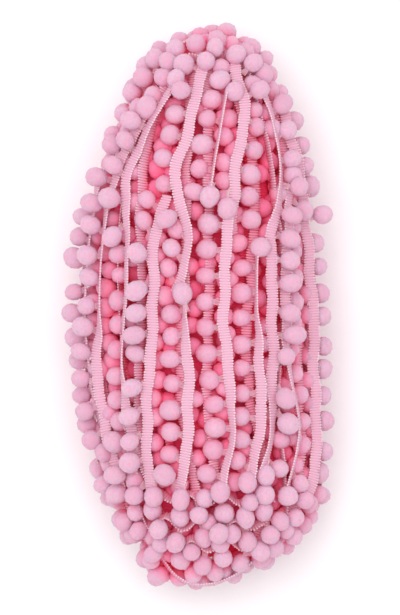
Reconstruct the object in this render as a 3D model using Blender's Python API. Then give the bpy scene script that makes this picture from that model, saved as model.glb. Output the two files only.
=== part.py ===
"""Pompom fringe trim, wound into a long oval hank that lies on its back.

The trim is a narrow ribbed braid with small round pompoms tied along one edge.
About twenty yards of it are wound lengthwise. The inner turns are one ridged
solid, and every outer turn that shows is a strip of braid with its own pompoms.

Frame: X runs across the hank, Y along it and Z up. The hank rests on z = 0, and
the origin lies under the middle of its box.
"""

import math

import bmesh
import bpy
import numpy as np
from mathutils import Vector
from mathutils.bvhtree import BVHTree
from mathutils.kdtree import KDTree

MM = 0.001

# The trim
BALL_RADIUS = 5.0 * MM
BALL_SPREAD = 0.08  # pompoms differ by up to this share of their radius
BALL_PITCH = 12.2 * MM
BRAID_WIDTH = 5.5 * MM
BRAID_THICKNESS = 1.2 * MM
NECK = 1.3 * MM  # the tie between the braid's edge and a pompom
LONGEST_NECK = 2.9 * MM  # with its pompom pushed aside
ROOT_LENGTH = 3.0 * MM  # how much of the braid's edge a tie takes up
LEAST_LEAN = 0.3  # a tie leans at least this share of its length away from the braid's edge
LEAST_RADIUS = 3.9 * MM  # a pompom with less room than this is out of sight, and left out
GAP = 0.35 * MM  # between pieces that touch

# The hank
HALF_LENGTH = 139.5 * MM
HALF_DEPTH = 44.5 * MM
AXIS_HEIGHT = 39 * MM
FULLNESS = 2.4  # 2 is an ellipse seen from the side, and more is fuller at the ends
BRAID_INSET = 3.5 * MM  # from the tips of the pompoms down to the outer turns' braid
CORE_INSET = 12.2 * MM  # from the tips of the pompoms down to the inner turns
STAND_PROUD = 2.2 * MM  # how much further out the middle of a braid on edge lies
SIDE_LIMIT = 0.97  # how far out a turn may lie on the upper side, as a share of the half width
SINKING = 0.2  # the share of a turn over which each end dips

PLACE = (0.764 * MM, -1.232 * MM, 0)

# The inner turns
CORE_FLOOR = 11 * MM  # the inner turns lie this far above the floor, on the pompoms below
CORE_SEGMENTS = 48
CORE_RINGS = 24
CORE_REACH = 0.9999  # of its half length, so that its ends aren't quite flat
CORE_RIDGES = 12
RIDGE_DEPTH = 2.2 * MM
RIDGE_TWIST = 0.5  # of a turn, from end to end

# The hank's outline from above, at the pompoms' tips, in millimetres
OUTLINE = (
    # along, left, right
    (139, -2, 14),
    (130, -14, 25),
    (120, -26, 34),
    (100, -40, 45),
    (80, -48, 52),
    (40, -57.5, 56),
    (0, -61, 60),
    (-40, -58, 60.5),
    (-80, -52, 62),
    (-104, -44, 58),
    (-118, -35, 44),
    (-130, -28, 18),
    (-139, -16, 8),
)

# The turns that show on the upper side. Each row has the place across the hank
# and the tilt of the braid at every station along it, in millimetres and degrees.
# A tilt of 0 lies level and 90 stands on the edge that carries the pompoms.
# side is the side of the braid that its pompoms are on: -1 left, 1 right.
# sunk is how far the ends dip under other turns, top and foot, in millimetres.
STATIONS = (120, 90, 60, 30, 0, -30, -60, -90, -120)
UPPER_TURNS = (
    # name, side, top, foot, sunk, across, tilt
    ("upper_a", -1, 84, -69, (1, 3),
     (-26, -41, -50, -55.5, -57.5, -56, -49.5, -41, -33), (80, 80, 80, 80, 80, 80, 75, 75, 75)),
    ("upper_b", -1, 97, -88, (1, 2),
     (-12, -29, -42, -46.5, -48, -50, -46, -39, -27), (20, 20, 50, 80, 80, 15, 20, 40, 40)),
    ("upper_c", -1, 111, -87, (2, 2),
     (-5, -23, -35.5, -34.5, -35.5, -37, -34, -33, -28), (40, 60, 30, 65, 75, 80, 5, 40, 40)),
    ("upper_d", -1, 53, -92, (4, 1),
     (-10, -12, -16, -22.5, -22.5, -24.5, -26, -24, -20), (30, 30, 30, 10, 0, 5, 10, 35, 50)),
    ("upper_e", -1, 118, 7, (2, 4),
     (2, -4.5, -12, -5.5, -14.5, -15, -15, -15, -15), (10, 15, 0, 45, 20, 20, 20, 20, 20)),
    ("upper_f", -1, 6, -93, (3, 2),
     (-5, -5, -5, -5, -7.5, -6, -6, -9.5, -8), (75, 75, 75, 75, 75, 15, 10, 30, 0)),
    ("upper_g", -1, 46, -90, (0, 2),
     (14, 14, 14, 12.5, 11, 13, 15, 10, 8), (20, 20, 20, 10, 5, 10, 60, 35, 20)),
    ("upper_h", 1, 120, 34, (2, 6),
     (17, 21, 16, 17, 17, 17, 17, 17, 17), (10, 0, 5, 30, 30, 30, 30, 30, 30)),
    ("upper_i", -1, 27, -86, (2, 2),
     (27, 27, 27, 27, 26, 28, 28, 22.5, 20), (75, 75, 75, 75, 75, 20, 20, 45, 45)),
    ("upper_j", 1, 113, -83, (1, 2),
     (26.5, 34.5, 38, 34, 34.5, 34.5, 34, 28.5, 24), (30, 70, 75, 10, 0, 0, 65, 40, 30)),
    ("upper_k", 1, 60, -90, (1, 2),
     (43, 43, 44, 42, 41, 42, 47, 42, 38), (60, 60, 60, 20, 10, 70, 80, 75, 60)),
    ("upper_m", 1, 94, -94, (1, 1),
     (34, 42.5, 49, 52.5, 54.5, 56.5, 57, 53, 34), (10, 10, 10, 10, 5, 5, 10, 20, 20)),
)

# Short lengths of deeper turns that show between the others near the ends.
# across and the range along the hank are from top to foot.
SHORT_TURNS = (
    # name, side, along, sunk, across, tilt
    ("top_b", -1, (104, 50), 2, (12.5, 3.5), 80),
)

# The turns that cross the hank near its ends, past the ends of the others, as places
# across and along it. sunk is how deep they lie, in millimetres. At a tilt under 0
# the edge that carries the pompoms is the outer one, so the pompoms hide the braid.
CROSSING_TURNS = (
    # name, side, sunk, tilt, places
    ("top_c", 1, 5.2, -70, ((-41, 87), (-35, 97), (-28, 104), (-21, 111), (-13, 115), (-5, 120),
                            (3, 118), (11, 121), (19, 117), (26, 111))),
    ("foot_b", -1, 5.2, -70, ((-43, -83), (-36, -89), (-29, -93), (-21, -89), (-13, -94), (-5, -90),
                              (3, -95), (11, -90), (19, -95), (27, -90), (35, -93))),
    ("foot_c", -1, 5.2, -70, ((-32, -102), (-24, -106), (-16, -101), (-8, -107), (0, -102),
                              (8, -107), (16, -102), (24, -107), (32, -102), (39, -101),
                              (45, -95))),
    ("foot_d", -1, 5.2, -70, ((-19, -112), (-12, -117), (-4, -112), (4, -117), (12, -112),
                              (20, -117), (28, -113), (35, -108))),
)

# The turns down the sides and underneath. around is the place round the hank's
# section, in degrees from its top towards +X, and sway how far a turn wanders.
LOWER_TURNS = (
    # name, side, top, foot, around, sway, tilt
    ("lower_b", -1, 45, -80, -95, 2, 10),
    ("lower_c", -1, 96, -110, -130, 3, 0),
    ("lower_d", -1, 101, -115, -161, 0, 0),
    ("lower_e", 1, 103, -111, 166, 0, 0),
    ("lower_f", 1, 98, -102, 134, 3, 0),
    ("lower_g", 1, 62, -92, 102, 3, 10),
)

# The turns that bend round the two ends, as places across and along the hank
# and heights above its axis, in millimetres
END_TURNS = (
    # name, side, tilt, places
    ("top_end", 1, 75, ((-25, 115, 1), (-19, 121, 1), (-11, 127, 2), (-1, 131, 3),
                        (10, 131.5, 3), (20, 127, 2), (27, 119, 1))),
    ("foot_end", -1, 75, ((-27, -113, 5), (-23, -118, 5), (-18, -124, 6), (-12, -131, 7),
                          (-3, -135.5, 7), (8, -134.5, 6), (20, -129, 5), (31, -120, 4))),
)

# How the pompoms settle
SEED = 7
FIRST_RISE = 0.5  # how steeply they leave the braid at first, towards the outside
STEPS = 160
SETTLING = 0.6  # the share of the steps in which they sink towards the inner turns
SETTLE_STEP = 0.25 * MM
PUSH = 0.55  # the share of an overlap that one of two pieces gives way in one step
BRAID_CLEARANCE = BRAID_THICKNESS / 2 + GAP + 0.1 * MM
FLOOR_CLEARANCE = 0.02 * MM

TRIM_PINK = (0.84, 0.44, 0.56, 1)
CORE_PINK = (0.72, 0.20, 0.33, 1)


def smooth(stations, values, at):
    """A smooth line through values at falling stations, read at the places in at."""
    x = -np.array(stations, float)
    y = np.array(values, float)
    slope = np.gradient(y, x)
    at = np.clip(-np.asarray(at, float), x[0], x[-1])
    i = np.clip(np.searchsorted(x, at) - 1, 0, len(x) - 2)
    step = x[i + 1] - x[i]
    t = (at - x[i]) / step
    return (
        y[i] * (1 + 2 * t) * (1 - t) ** 2
        + step * slope[i] * t * (1 - t) ** 2
        + y[i + 1] * t * t * (3 - 2 * t)
        + step * slope[i + 1] * t * t * (t - 1)
    )


def half_widths(along, inset):
    """The hank's left and right edges, that deep under the pompoms' tips."""
    rows = np.array(OUTLINE, float) * MM
    left = smooth(rows[:, 0], rows[:, 1], along) + inset
    right = smooth(rows[:, 0], rows[:, 2], along) - inset
    return left, right


def half_depth(along, inset):
    reach = np.clip(np.abs(along) / (HALF_LENGTH - inset), 0, 1)
    return (HALF_DEPTH - inset) * (1 - reach**FULLNESS) ** (1 / FULLNESS)


def skin(along, around, inset):
    """The point at that place round the hank's section, in radians from its top."""
    left, right = half_widths(along, inset)
    across = (left + right) / 2 + (right - left) / 2 * np.sin(around)
    height = AXIS_HEIGHT + half_depth(along, inset) * np.cos(around)
    return np.stack([across, along, height], axis=-1)


def outward(points, inset):
    """The hank's outward direction at points on or near its skin."""

    def level(p):
        left, right = half_widths(p[:, 1], inset)
        deep = np.maximum(half_depth(p[:, 1], inset), 2 * MM)
        across = (p[:, 0] - (left + right) / 2) / ((right - left) / 2)
        return across**2 + ((p[:, 2] - AXIS_HEIGHT) / deep) ** 2

    step = 0.2 * MM
    slopes = [level(points + move) - level(points - move) for move in np.eye(3) * step]
    slopes = np.stack(slopes, axis=-1)
    return slopes / np.linalg.norm(slopes, axis=1, keepdims=True)


def read_along(reach, rows, marks):
    """The rows, one for each place in reach, read at the marks between them."""
    return np.stack([np.interp(marks, reach, column) for column in rows.T], axis=1)


def unit(rows):
    return rows / np.linalg.norm(rows, axis=1, keepdims=True)


class Turn:
    """One turn of trim: its braid's sections, two at each tie and one at each end."""

    def __init__(self, name, side, path, normals, outwards, tilts):
        self.name = name
        self.side = side
        steps = np.linalg.norm(np.diff(path, axis=0), axis=1)
        reach = np.concatenate([[0], np.cumsum(steps)])
        self.count = int((reach[-1] - 2 * ROOT_LENGTH) / BALL_PITCH) + 1
        ties = (reach[-1] - (self.count - 1) * BALL_PITCH) / 2 + BALL_PITCH * np.arange(self.count)
        edges = np.sort(np.concatenate([ties - ROOT_LENGTH / 2, ties + ROOT_LENGTH / 2]))
        marks = np.concatenate([[0], edges, [reach[-1]]])

        self.centre = read_along(reach, path, marks)
        self.outward = read_along(reach, outwards, marks)
        self.ahead = unit(np.gradient(self.centre, axis=0))
        normal = read_along(reach, normals, marks)
        normal = unit(normal - self.ahead * (normal * self.ahead).sum(1, keepdims=True))
        self.sideways = np.cross(normal, self.ahead)
        tilt = np.radians(np.interp(marks, reach, tilts))[:, None]
        self.width = -side * np.cos(tilt) * self.sideways + np.sin(tilt) * normal
        self.up = side * np.sin(tilt) * self.sideways + np.cos(tilt) * normal
        stands = np.clip((self.width * self.outward).sum(1, keepdims=True), 0, 1)
        self.centre += self.outward * stands * STAND_PROUD

    def corners(self, i):
        """The corners of section i: the pompoms' edge, top and bottom, then the far edge."""
        half_width = self.width[i] * BRAID_WIDTH / 2
        half_thick = self.up[i] * BRAID_THICKNESS / 2
        near = self.centre[i] - half_width
        far = self.centre[i] + half_width
        return near + half_thick, near - half_thick, far - half_thick, far + half_thick

    def root(self, k):
        """The middle of pompom k's tie, on the braid's edge."""
        i = 1 + 2 * k
        middle = (self.centre[i] + self.centre[i + 1]) / 2
        width = (self.width[i] + self.width[i + 1]) / 2
        return middle - width * BRAID_WIDTH / 2

    def first_way(self, k):
        """The way pompom k leaves the braid before it settles."""
        i = 1 + 2 * k
        way = self.side * self.sideways[i] + FIRST_RISE * self.outward[i]
        return way / np.linalg.norm(way)

    def samples(self):
        """Points all over the braid, for keeping pompoms off it."""
        found = []
        for i in range(len(self.centre) - 1):
            for t in np.arange(0, 1, 0.2):
                centre = self.centre[i] * (1 - t) + self.centre[i + 1] * t
                width = self.width[i] * (1 - t) + self.width[i + 1] * t
                found += [centre + width * BRAID_WIDTH * a for a in (-0.5, -0.25, 0, 0.25, 0.5)]
        return found


def upper_turn(name, side, top, foot, sunk, across, tilt, stations=STATIONS):
    """A turn on the upper side, from its row in the table."""
    along = np.linspace(top, foot, 120) * MM
    x = smooth(np.array(stations) * MM, np.array(across) * MM, along)
    left, right = half_widths(along, BRAID_INSET)
    share = (x - (left + right) / 2) / ((right - left) / 2)
    around = np.arcsin(np.clip(share, -SIDE_LIMIT, SIDE_LIMIT))
    path = skin(along, around, BRAID_INSET)
    outwards = outward(path, BRAID_INSET)
    done = np.linspace(0, 1, len(along))
    top_dip = sunk[0] * np.clip(1 - done / SINKING, 0, 1)
    foot_dip = sunk[1] * np.clip(1 - (1 - done) / SINKING, 0, 1)
    path -= outwards * (top_dip + foot_dip)[:, None] * MM
    upright = np.tile((0.0, 0.0, 1.0), (len(path), 1))
    return Turn(name, side, path, upright, outwards, smooth(np.array(stations) * MM, tilt, along))


def short_turn(name, side, along, sunk, across, tilt):
    """A turn that lies evenly deep under the others."""
    made = upper_turn(name, side, *along, (0, 0), across, (tilt, tilt), along)
    made.centre -= made.outward * sunk * MM
    return made


def crossing_turn(name, side, sunk, tilt, places):
    """A turn that crosses the upper side, through the places in its row."""
    places = np.array(places, float) * MM
    order = np.arange(len(places), 0, -1)
    at = np.linspace(order[0], order[-1], 60)
    across, along = (smooth(order, places[:, k], at) for k in range(2))
    inset = BRAID_INSET + sunk * MM
    left, right = half_widths(along, inset)
    share = (across - (left + right) / 2) / ((right - left) / 2)
    path = skin(along, np.arcsin(np.clip(share, -SIDE_LIMIT, SIDE_LIMIT)), inset)
    outwards = outward(path, inset)
    return Turn(name, side, path, outwards, outwards, np.full(len(path), float(tilt)))


def lower_turn(name, side, top, foot, around, sway, tilt):
    """A turn down a side or underneath. Where it would reach under the floor, it lies on it."""
    along = np.linspace(top, foot, 120) * MM
    wave = np.sin(np.linspace(0, 3 * math.pi, len(along)) + around)
    path = skin(along, np.radians(around + sway * wave), BRAID_INSET)
    normals = outward(path, BRAID_INSET)
    low = path[:, 2] < BRAID_THICKNESS / 2
    path[low, 2] = BRAID_THICKNESS / 2
    normals[low] = (0, 0, -1)
    made = Turn(name, side, path, normals, normals, np.full(len(along), float(tilt)))
    for i in range(len(made.centre)):
        made.centre[i, 2] -= min(0, min(corner[2] for corner in made.corners(i)))
    return made


def end_turn(name, side, tilt, places):
    """A turn that bends round an end of the hank, through the places in its row."""
    places = np.array(places, float) * MM
    order = np.arange(len(places), 0, -1)
    at = np.linspace(order[0], order[-1], 60)
    path = np.stack([smooth(order, places[:, k], at) for k in range(3)], 1)
    path[:, 2] += AXIS_HEIGHT
    upright = np.tile((0.0, 0.0, 1.0), (len(path), 1))
    return Turn(name, side, path, upright, upright, np.full(len(path), float(tilt)))


def core_mesh():
    """The inner turns: a ball stretched to the hank's form, ridged by the winding."""
    reach = HALF_LENGTH - CORE_INSET
    points = []
    for ring in range(CORE_RINGS + 1):
        high = math.pi * (0.5 - ring / CORE_RINGS)
        share = abs(math.sin(high)) ** (2 / FULLNESS)
        along = math.copysign(share * reach * CORE_REACH, high)
        for k in range(CORE_SEGMENTS if 0 < ring < CORE_RINGS else 1):
            around = math.tau * k / CORE_SEGMENTS
            turned = around + RIDGE_TWIST * math.tau * along / (2 * reach)
            groove = 0.5 - 0.5 * math.cos(CORE_RIDGES * turned)
            deep = RIDGE_DEPTH * groove * math.cos(high)
            point = skin(np.array(along), np.array(around), CORE_INSET + deep)
            points.append((point[0], along, max(point[2], CORE_FLOOR)))

    def number(ring, k):
        before = 1 + (ring - 1) * CORE_SEGMENTS + k % CORE_SEGMENTS
        return min(before, len(points) - 1) if ring else 0

    faces = []
    for ring in range(CORE_RINGS):
        for k in range(CORE_SEGMENTS):
            corners = ((ring, k), (ring + 1, k), (ring + 1, k + 1), (ring, k + 1))
            faces.append(list(dict.fromkeys(number(*corner) for corner in corners)))
    mesh = bpy.data.meshes.new("inner_turns")
    mesh.from_pydata(points, [], faces)
    return mesh


def tree_of(points):
    tree = KDTree(len(points))
    for i, point in enumerate(points):
        tree.insert(point, i)
    tree.balance()
    return tree


def settle_pompoms(turns, core):
    """Where the pompoms lie and how big they are. Each sinks towards the inner turns on
    its own tie and is pushed clear of the others, the braid and the floor. One that is
    still crowded at the end is as small as its room."""
    roots = np.array([turn.root(k) for turn in turns for k in range(turn.count)])
    ways = np.array([turn.first_way(k) for turn in turns for k in range(turn.count)])
    edges = [Vector(-turn.width[1 + 2 * k]) for turn in turns for k in range(turn.count)]
    spread = np.random.default_rng(SEED).uniform(-BALL_SPREAD, BALL_SPREAD, len(roots))
    radii = BALL_RADIUS * (1 + spread)
    centres = [Vector(c) for c in roots + ways * (radii + NECK)[:, None]]
    roots = [Vector(root) for root in roots]
    braid = tree_of([Vector(p) for turn in turns for p in turn.samples()])
    bm = bmesh.new()
    bm.from_mesh(core)
    inner = BVHTree.FromBMesh(bm)
    bm.free()

    for step in range(STEPS):
        others = tree_of(centres)
        for i, c in enumerate(centres):
            r = radii[i]
            near, normal, _, _ = inner.find_nearest(c)
            short = r + GAP - (c - near).dot(normal)
            if short > 0:
                c = c + normal * short
            elif step < SETTLING * STEPS:
                c = c - normal * min(SETTLE_STEP, -short)
            for other, j, distance in others.find_range(c, 2.2 * BALL_RADIUS):
                short = r + radii[j] + GAP - distance
                if j != i and short > 0:
                    c = c + (c - other).normalized() * short * PUSH
            for other, _, distance in braid.find_range(c, r + BRAID_CLEARANCE):
                c = c + (c - other).normalized() * (r + BRAID_CLEARANCE - distance) * PUSH
            tie = c - roots[i]
            tie += edges[i] * max(0, LEAST_LEAN * tie.length - tie.dot(edges[i]))
            length = min(max(tie.length, r + NECK), r + LONGEST_NECK)
            c = roots[i] + tie.normalized() * length
            c.z = max(c.z, r + FLOOR_CLEARANCE)
            centres[i] = c

    others = tree_of(centres)
    for i, c in enumerate(centres):
        near, normal, _, _ = inner.find_nearest(c)
        room = [(c - near).dot(normal) - GAP, braid.find(c)[2] - BRAID_CLEARANCE]
        for _, j, distance in others.find_range(c, 2.4 * BALL_RADIUS):
            if j != i and distance < radii[i] + radii[j] + GAP:
                room.append((distance - GAP) * radii[i] / (radii[i] + radii[j]))
        radii[i] = min(radii[i], *room)
    return centres, radii.tolist()


def ball_template():
    """A ball of 32 faces, an eight-faced ball cut finer, with its lowest point left
    open for the tie. Returns its points, its faces and the four points of the opening."""
    bm = bmesh.new()
    bmesh.ops.create_uvsphere(bm, u_segments=4, v_segments=2, radius=1)
    bmesh.ops.subdivide_edges(bm, edges=bm.edges, cuts=1, use_grid_fill=True)
    bmesh.ops.triangulate(bm, faces=bm.faces)
    for vert in bm.verts:
        vert.co.normalize()
    lowest = min(bm.verts, key=lambda v: v.co.z)
    opening = {edge.other_vert(lowest) for edge in lowest.link_edges}
    for vert in opening:
        vert.co = Vector((vert.co.x, vert.co.y, -vert.co.xy.length * 1.6)).normalized()
    rim = [tuple(v.co) for v in opening]
    bmesh.ops.delete(bm, geom=[lowest], context="VERTS")
    bm.verts.index_update()
    points = [v.co.copy() for v in bm.verts]
    faces = [[v.index for v in f.verts] for f in bm.faces]
    open_points = [v.index for v in bm.verts if tuple(v.co) in rim]
    bm.free()
    return points, faces, open_points


def add_pompom(bm, template, root_verts, root, along, centre, radius):
    """A pompom on its tie, sewn into the hole that root_verts leave in the braid's edge."""
    points, faces, open_points = template
    down = (root - centre).normalized()
    first = (along - down * along.dot(down)).normalized()
    second = down.cross(first)
    # The opening's points lie on the ball's X and Y axes, so those go to the corners.
    x_axis = (first + second).normalized()
    y_axis = (second - first).normalized()
    verts = [
        bm.verts.new(centre + radius * (p.x * x_axis + p.y * y_axis - p.z * down)) for p in points
    ]
    for face in faces:
        bm.faces.new([verts[i] for i in face])

    def angle(vert):
        across = vert.co - centre
        return math.atan2(across.dot(second), across.dot(first))

    rim = sorted((verts[i] for i in open_points), key=angle)
    middle = sum((v.co for v in root_verts), Vector()) / 4
    if (root_verts[0].co - middle).cross(root_verts[1].co - middle).dot(down) < 0:
        root_verts = root_verts[::-1]
    turned = [rim[k:] + rim[:k] for k in range(4)]
    rim = min(turned, key=lambda r: sum((a.co - b.co).length for a, b in zip(r, root_verts)))
    for q in range(4):
        n = (q + 1) % 4
        bm.faces.new([root_verts[q], root_verts[n], rim[n], rim[q]])


def turn_mesh(turn, template, centres, radii):
    """A strip of braid, lofted through its sections, with its pompoms along one edge."""
    bm = bmesh.new()
    rings = [[bm.verts.new(p) for p in turn.corners(i)] for i in range(len(turn.centre))]
    bm.faces.new(rings[0])
    bm.faces.new(rings[-1])
    for i in range(len(rings) - 1):
        for a in range(4):
            b = (a + 1) % 4
            is_root = a == 0 and i % 2 == 1
            if not is_root:
                bm.faces.new([rings[i][a], rings[i][b], rings[i + 1][b], rings[i + 1][a]])
    for k in range(turn.count):
        i = 1 + 2 * k
        root_verts = [rings[i][0], rings[i][1], rings[i + 1][1], rings[i + 1][0]]
        if radii[k] < LEAST_RADIUS:
            bm.faces.new(root_verts)
            continue
        add_pompom(bm, template, root_verts, Vector(turn.root(k)), Vector(turn.ahead[i]),
                   centres[k], radii[k])
    bm.normal_update()
    bmesh.ops.recalc_face_normals(bm, faces=bm.faces)
    mesh = bpy.data.meshes.new(turn.name)
    bm.to_mesh(mesh)
    bm.free()
    return mesh


def material(name, colour, roughness):
    made = bpy.data.materials.new(name)
    made.use_nodes = True
    shader = made.node_tree.nodes["Principled BSDF"]
    shader.inputs["Base Color"].default_value = colour
    shader.inputs["Roughness"].default_value = roughness
    made.diffuse_color = colour
    return made


def add_object(name, mesh, finish, collection):
    mesh.materials.append(finish)
    made = bpy.data.objects.new(name, mesh)
    made.location = PLACE
    collection.objects.link(made)


def main():
    for old in list(bpy.data.objects):
        bpy.data.objects.remove(old)
    hank = bpy.data.collections.new("pompom_trim_hank")
    bpy.context.scene.collection.children.link(hank)

    core = core_mesh()
    turns = [upper_turn(*row) for row in UPPER_TURNS]
    turns += [short_turn(*row) for row in SHORT_TURNS]
    turns += [crossing_turn(*row) for row in CROSSING_TURNS]
    turns += [lower_turn(*row) for row in LOWER_TURNS]
    turns += [end_turn(*row) for row in END_TURNS]
    centres, radii = settle_pompoms(turns, core)

    trim = material("pompom_trim", TRIM_PINK, 0.9)
    add_object("inner_turns", core, material("inner_turns", CORE_PINK, 0.9), hank)
    template = ball_template()
    first = 0
    for turn in turns:
        last = first + turn.count
        mesh = turn_mesh(turn, template, centres[first:last], radii[first:last])
        add_object(turn.name, mesh, trim, hank)
        first = last
    corners = np.array([v.co for made in hank.objects for v in made.data.vertices])
    print(sum(r >= LEAST_RADIUS for r in radii), "of", len(radii), "pompoms")
    print("box", corners.min(0) / MM, corners.max(0) / MM)


main()
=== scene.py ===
"""Pompom fringe trim, wound into a long oval hank that lies on its back.

The frame's plain turns are dressed here as the real trim: a ribbed gimp braid with
small pompoms tied along one edge. X runs across the hank, Y along it and Z up, in
metres, and the floor is at z = 0.
"""

import math

import bmesh
import bpy
import numpy as np
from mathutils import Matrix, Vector
from mathutils.bvhtree import BVHTree
from mathutils.kdtree import KDTree


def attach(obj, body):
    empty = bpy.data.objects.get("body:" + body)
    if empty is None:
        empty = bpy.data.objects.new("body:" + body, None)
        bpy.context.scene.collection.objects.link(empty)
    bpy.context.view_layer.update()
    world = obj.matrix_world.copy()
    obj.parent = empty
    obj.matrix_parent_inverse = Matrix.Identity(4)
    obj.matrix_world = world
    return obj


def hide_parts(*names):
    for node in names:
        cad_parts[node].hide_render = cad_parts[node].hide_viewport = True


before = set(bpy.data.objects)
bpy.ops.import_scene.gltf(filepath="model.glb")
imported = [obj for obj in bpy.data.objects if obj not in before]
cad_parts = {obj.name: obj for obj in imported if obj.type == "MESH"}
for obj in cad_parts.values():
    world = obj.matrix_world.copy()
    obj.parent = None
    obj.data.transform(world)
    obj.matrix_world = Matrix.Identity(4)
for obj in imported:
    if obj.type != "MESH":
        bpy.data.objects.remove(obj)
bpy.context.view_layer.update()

# ---------------------------------------------------------------------------
# The heart of the hank.
# The first turns are wound tight, so that they pack into a firm, ridged form of
# braid. It lies deep under the pompoms, and shows only as a crimson ground: its
# colour is painted shade.
# ---------------------------------------------------------------------------

MM = 0.001
PLACE = np.array((0.764, -1.232, 0)) * MM  # puts the origin under the middle of the box
HALF_LENGTH = 139.5 * MM
HALF_DEPTH = 44.5 * MM
AXIS_HEIGHT = 39 * MM
FULLNESS = 2.4  # 2 is an ellipse seen from the side, and more is fuller at the ends
RIDGE_TWIST = 0.5  # of a turn, from end to end
CORE_REACH = 0.9999  # of its length, as its section has no size at the very ends

# The hank's outline from above, at the pompoms' tips, in millimetres
OUTLINE = (
    # along, left, right
    (139, -2, 14),
    (130, -14, 25),
    (120, -26, 34),
    (100, -40, 45),
    (80, -48, 52),
    (40, -57.5, 56),
    (0, -61, 60),
    (-40, -58, 60.5),
    (-80, -52, 62),
    (-104, -44, 58),
    (-118, -35, 44),
    (-130, -28, 18),
    (-139, -16, 8),
)


def smooth(stations, values, at):
    """A smooth line through values at falling stations, read at the places in at."""
    x = -np.array(stations, float)
    y = np.array(values, float)
    slope = np.gradient(y, x)
    at = np.clip(-np.asarray(at, float), x[0], x[-1])
    i = np.clip(np.searchsorted(x, at) - 1, 0, len(x) - 2)
    step = x[i + 1] - x[i]
    t = (at - x[i]) / step
    return (
        y[i] * (1 + 2 * t) * (1 - t) ** 2
        + step * slope[i] * t * (1 - t) ** 2
        + y[i + 1] * t * t * (3 - 2 * t)
        + step * slope[i + 1] * t * t * (t - 1)
    )


def half_widths(along, inset):
    """The hank's left and right edges, that deep under the pompoms' tips."""
    rows = np.array(OUTLINE, float) * MM
    left = smooth(rows[:, 0], rows[:, 1], along) + inset
    right = smooth(rows[:, 0], rows[:, 2], along) - inset
    return left, right


def half_depth(along, inset):
    """Half the hank's depth there, that deep under the pompoms' tips."""
    reach = np.clip(np.abs(along) / (HALF_LENGTH - inset), 0, 1)
    return (HALF_DEPTH - inset) * (1 - reach**FULLNESS) ** (1 / FULLNESS)


def skin(along, around, inset):
    """The point at that place round the hank's section, in radians from its top."""
    left, right = half_widths(along, inset)
    across = (left + right) / 2 + (right - left) / 2 * np.sin(around)
    height = AXIS_HEIGHT + half_depth(along, inset) * np.cos(around)
    return np.stack([across, along, height], axis=-1)


def wound_form(name, inset, floor, ridges, ridge_depth, segments=48, rings=24):
    """A ball stretched to the hank's form, ridged by the winding."""
    reach = HALF_LENGTH - inset
    points = []
    for ring in range(rings + 1):
        high = math.pi * (0.5 - ring / rings)
        share = abs(math.sin(high)) ** (2 / FULLNESS)
        along = math.copysign(share * reach * CORE_REACH, high)
        at_pole = ring in (0, rings)
        for k in range(1 if at_pole else segments):
            around = math.tau * k / segments
            turned = around + RIDGE_TWIST * math.tau * along / (2 * reach)
            groove = 0.5 - 0.5 * math.cos(ridges * turned)
            deep = ridge_depth * groove * math.cos(high)
            point = skin(np.array(along), np.array(around), inset + deep)
            points.append((point[0], along, max(point[2], floor)))

    def number(ring, k):
        """The point at that place. Each pole is one point."""
        before = 1 + (ring - 1) * segments + k % segments
        return min(before, len(points) - 1) if ring else 0

    faces = []
    for ring in range(rings):
        for k in range(segments):
            corners = ((ring, k), (ring + 1, k), (ring + 1, k + 1), (ring, k + 1))
            faces.append(list(dict.fromkeys(number(*corner) for corner in corners)))
    mesh = bpy.data.meshes.new(name)
    mesh.from_pydata(points, [], faces)
    return mesh


def linear(hex_colour):
    """An sRGB colour in hex, as the linear values a shader takes."""
    parts = [int(hex_colour[i : i + 2], 16) / 255 for i in (1, 3, 5)]
    parts = [p / 12.92 if p <= 0.04045 else ((p + 0.055) / 1.055) ** 2.4 for p in parts]
    return (*parts, 1)


def add_node(tree, kind, inputs=None, **settings):
    """Adds a node with its settings. Each input is a value, the socket it comes from, the
    node whose first output that is, or a list of such nodes to join."""
    node = tree.nodes.new(kind)
    for name, value in settings.items():
        setattr(node, name, value)
    for key, value in (inputs or {}).items():
        for source in value if isinstance(value, list) else [value]:
            if isinstance(source, bpy.types.Node):
                source = source.outputs[0]
            if isinstance(source, bpy.types.NodeSocket):
                tree.links.new(source, node.inputs[key])
            else:
                node.inputs[key].default_value = source
    return node


def fresh_material(name):
    """A material whose nodes are still to be added, and its node tree."""
    material = bpy.data.materials.new(name)
    material.use_nodes = True
    material.node_tree.nodes.clear()
    return material, material.node_tree


def cloth_surface(tree, colour, height, strength, relief, inputs):
    """Ends a material's tree in a surface of that colour, raised by relief where height is 1."""
    bump = add_node(tree, "ShaderNodeBump", {
        "Height": height, "Strength": strength, "Distance": relief,
    })
    shader = add_node(tree, "ShaderNodeBsdfPrincipled", {
        "Base Color": colour, "Normal": bump, **inputs,
    })
    add_node(tree, "ShaderNodeOutputMaterial", {"Surface": shader})


def add_object(name, data):
    """An object of that data, in the scene."""
    made = bpy.data.objects.new(name, data)
    bpy.context.scene.collection.objects.link(made)
    return made
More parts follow.
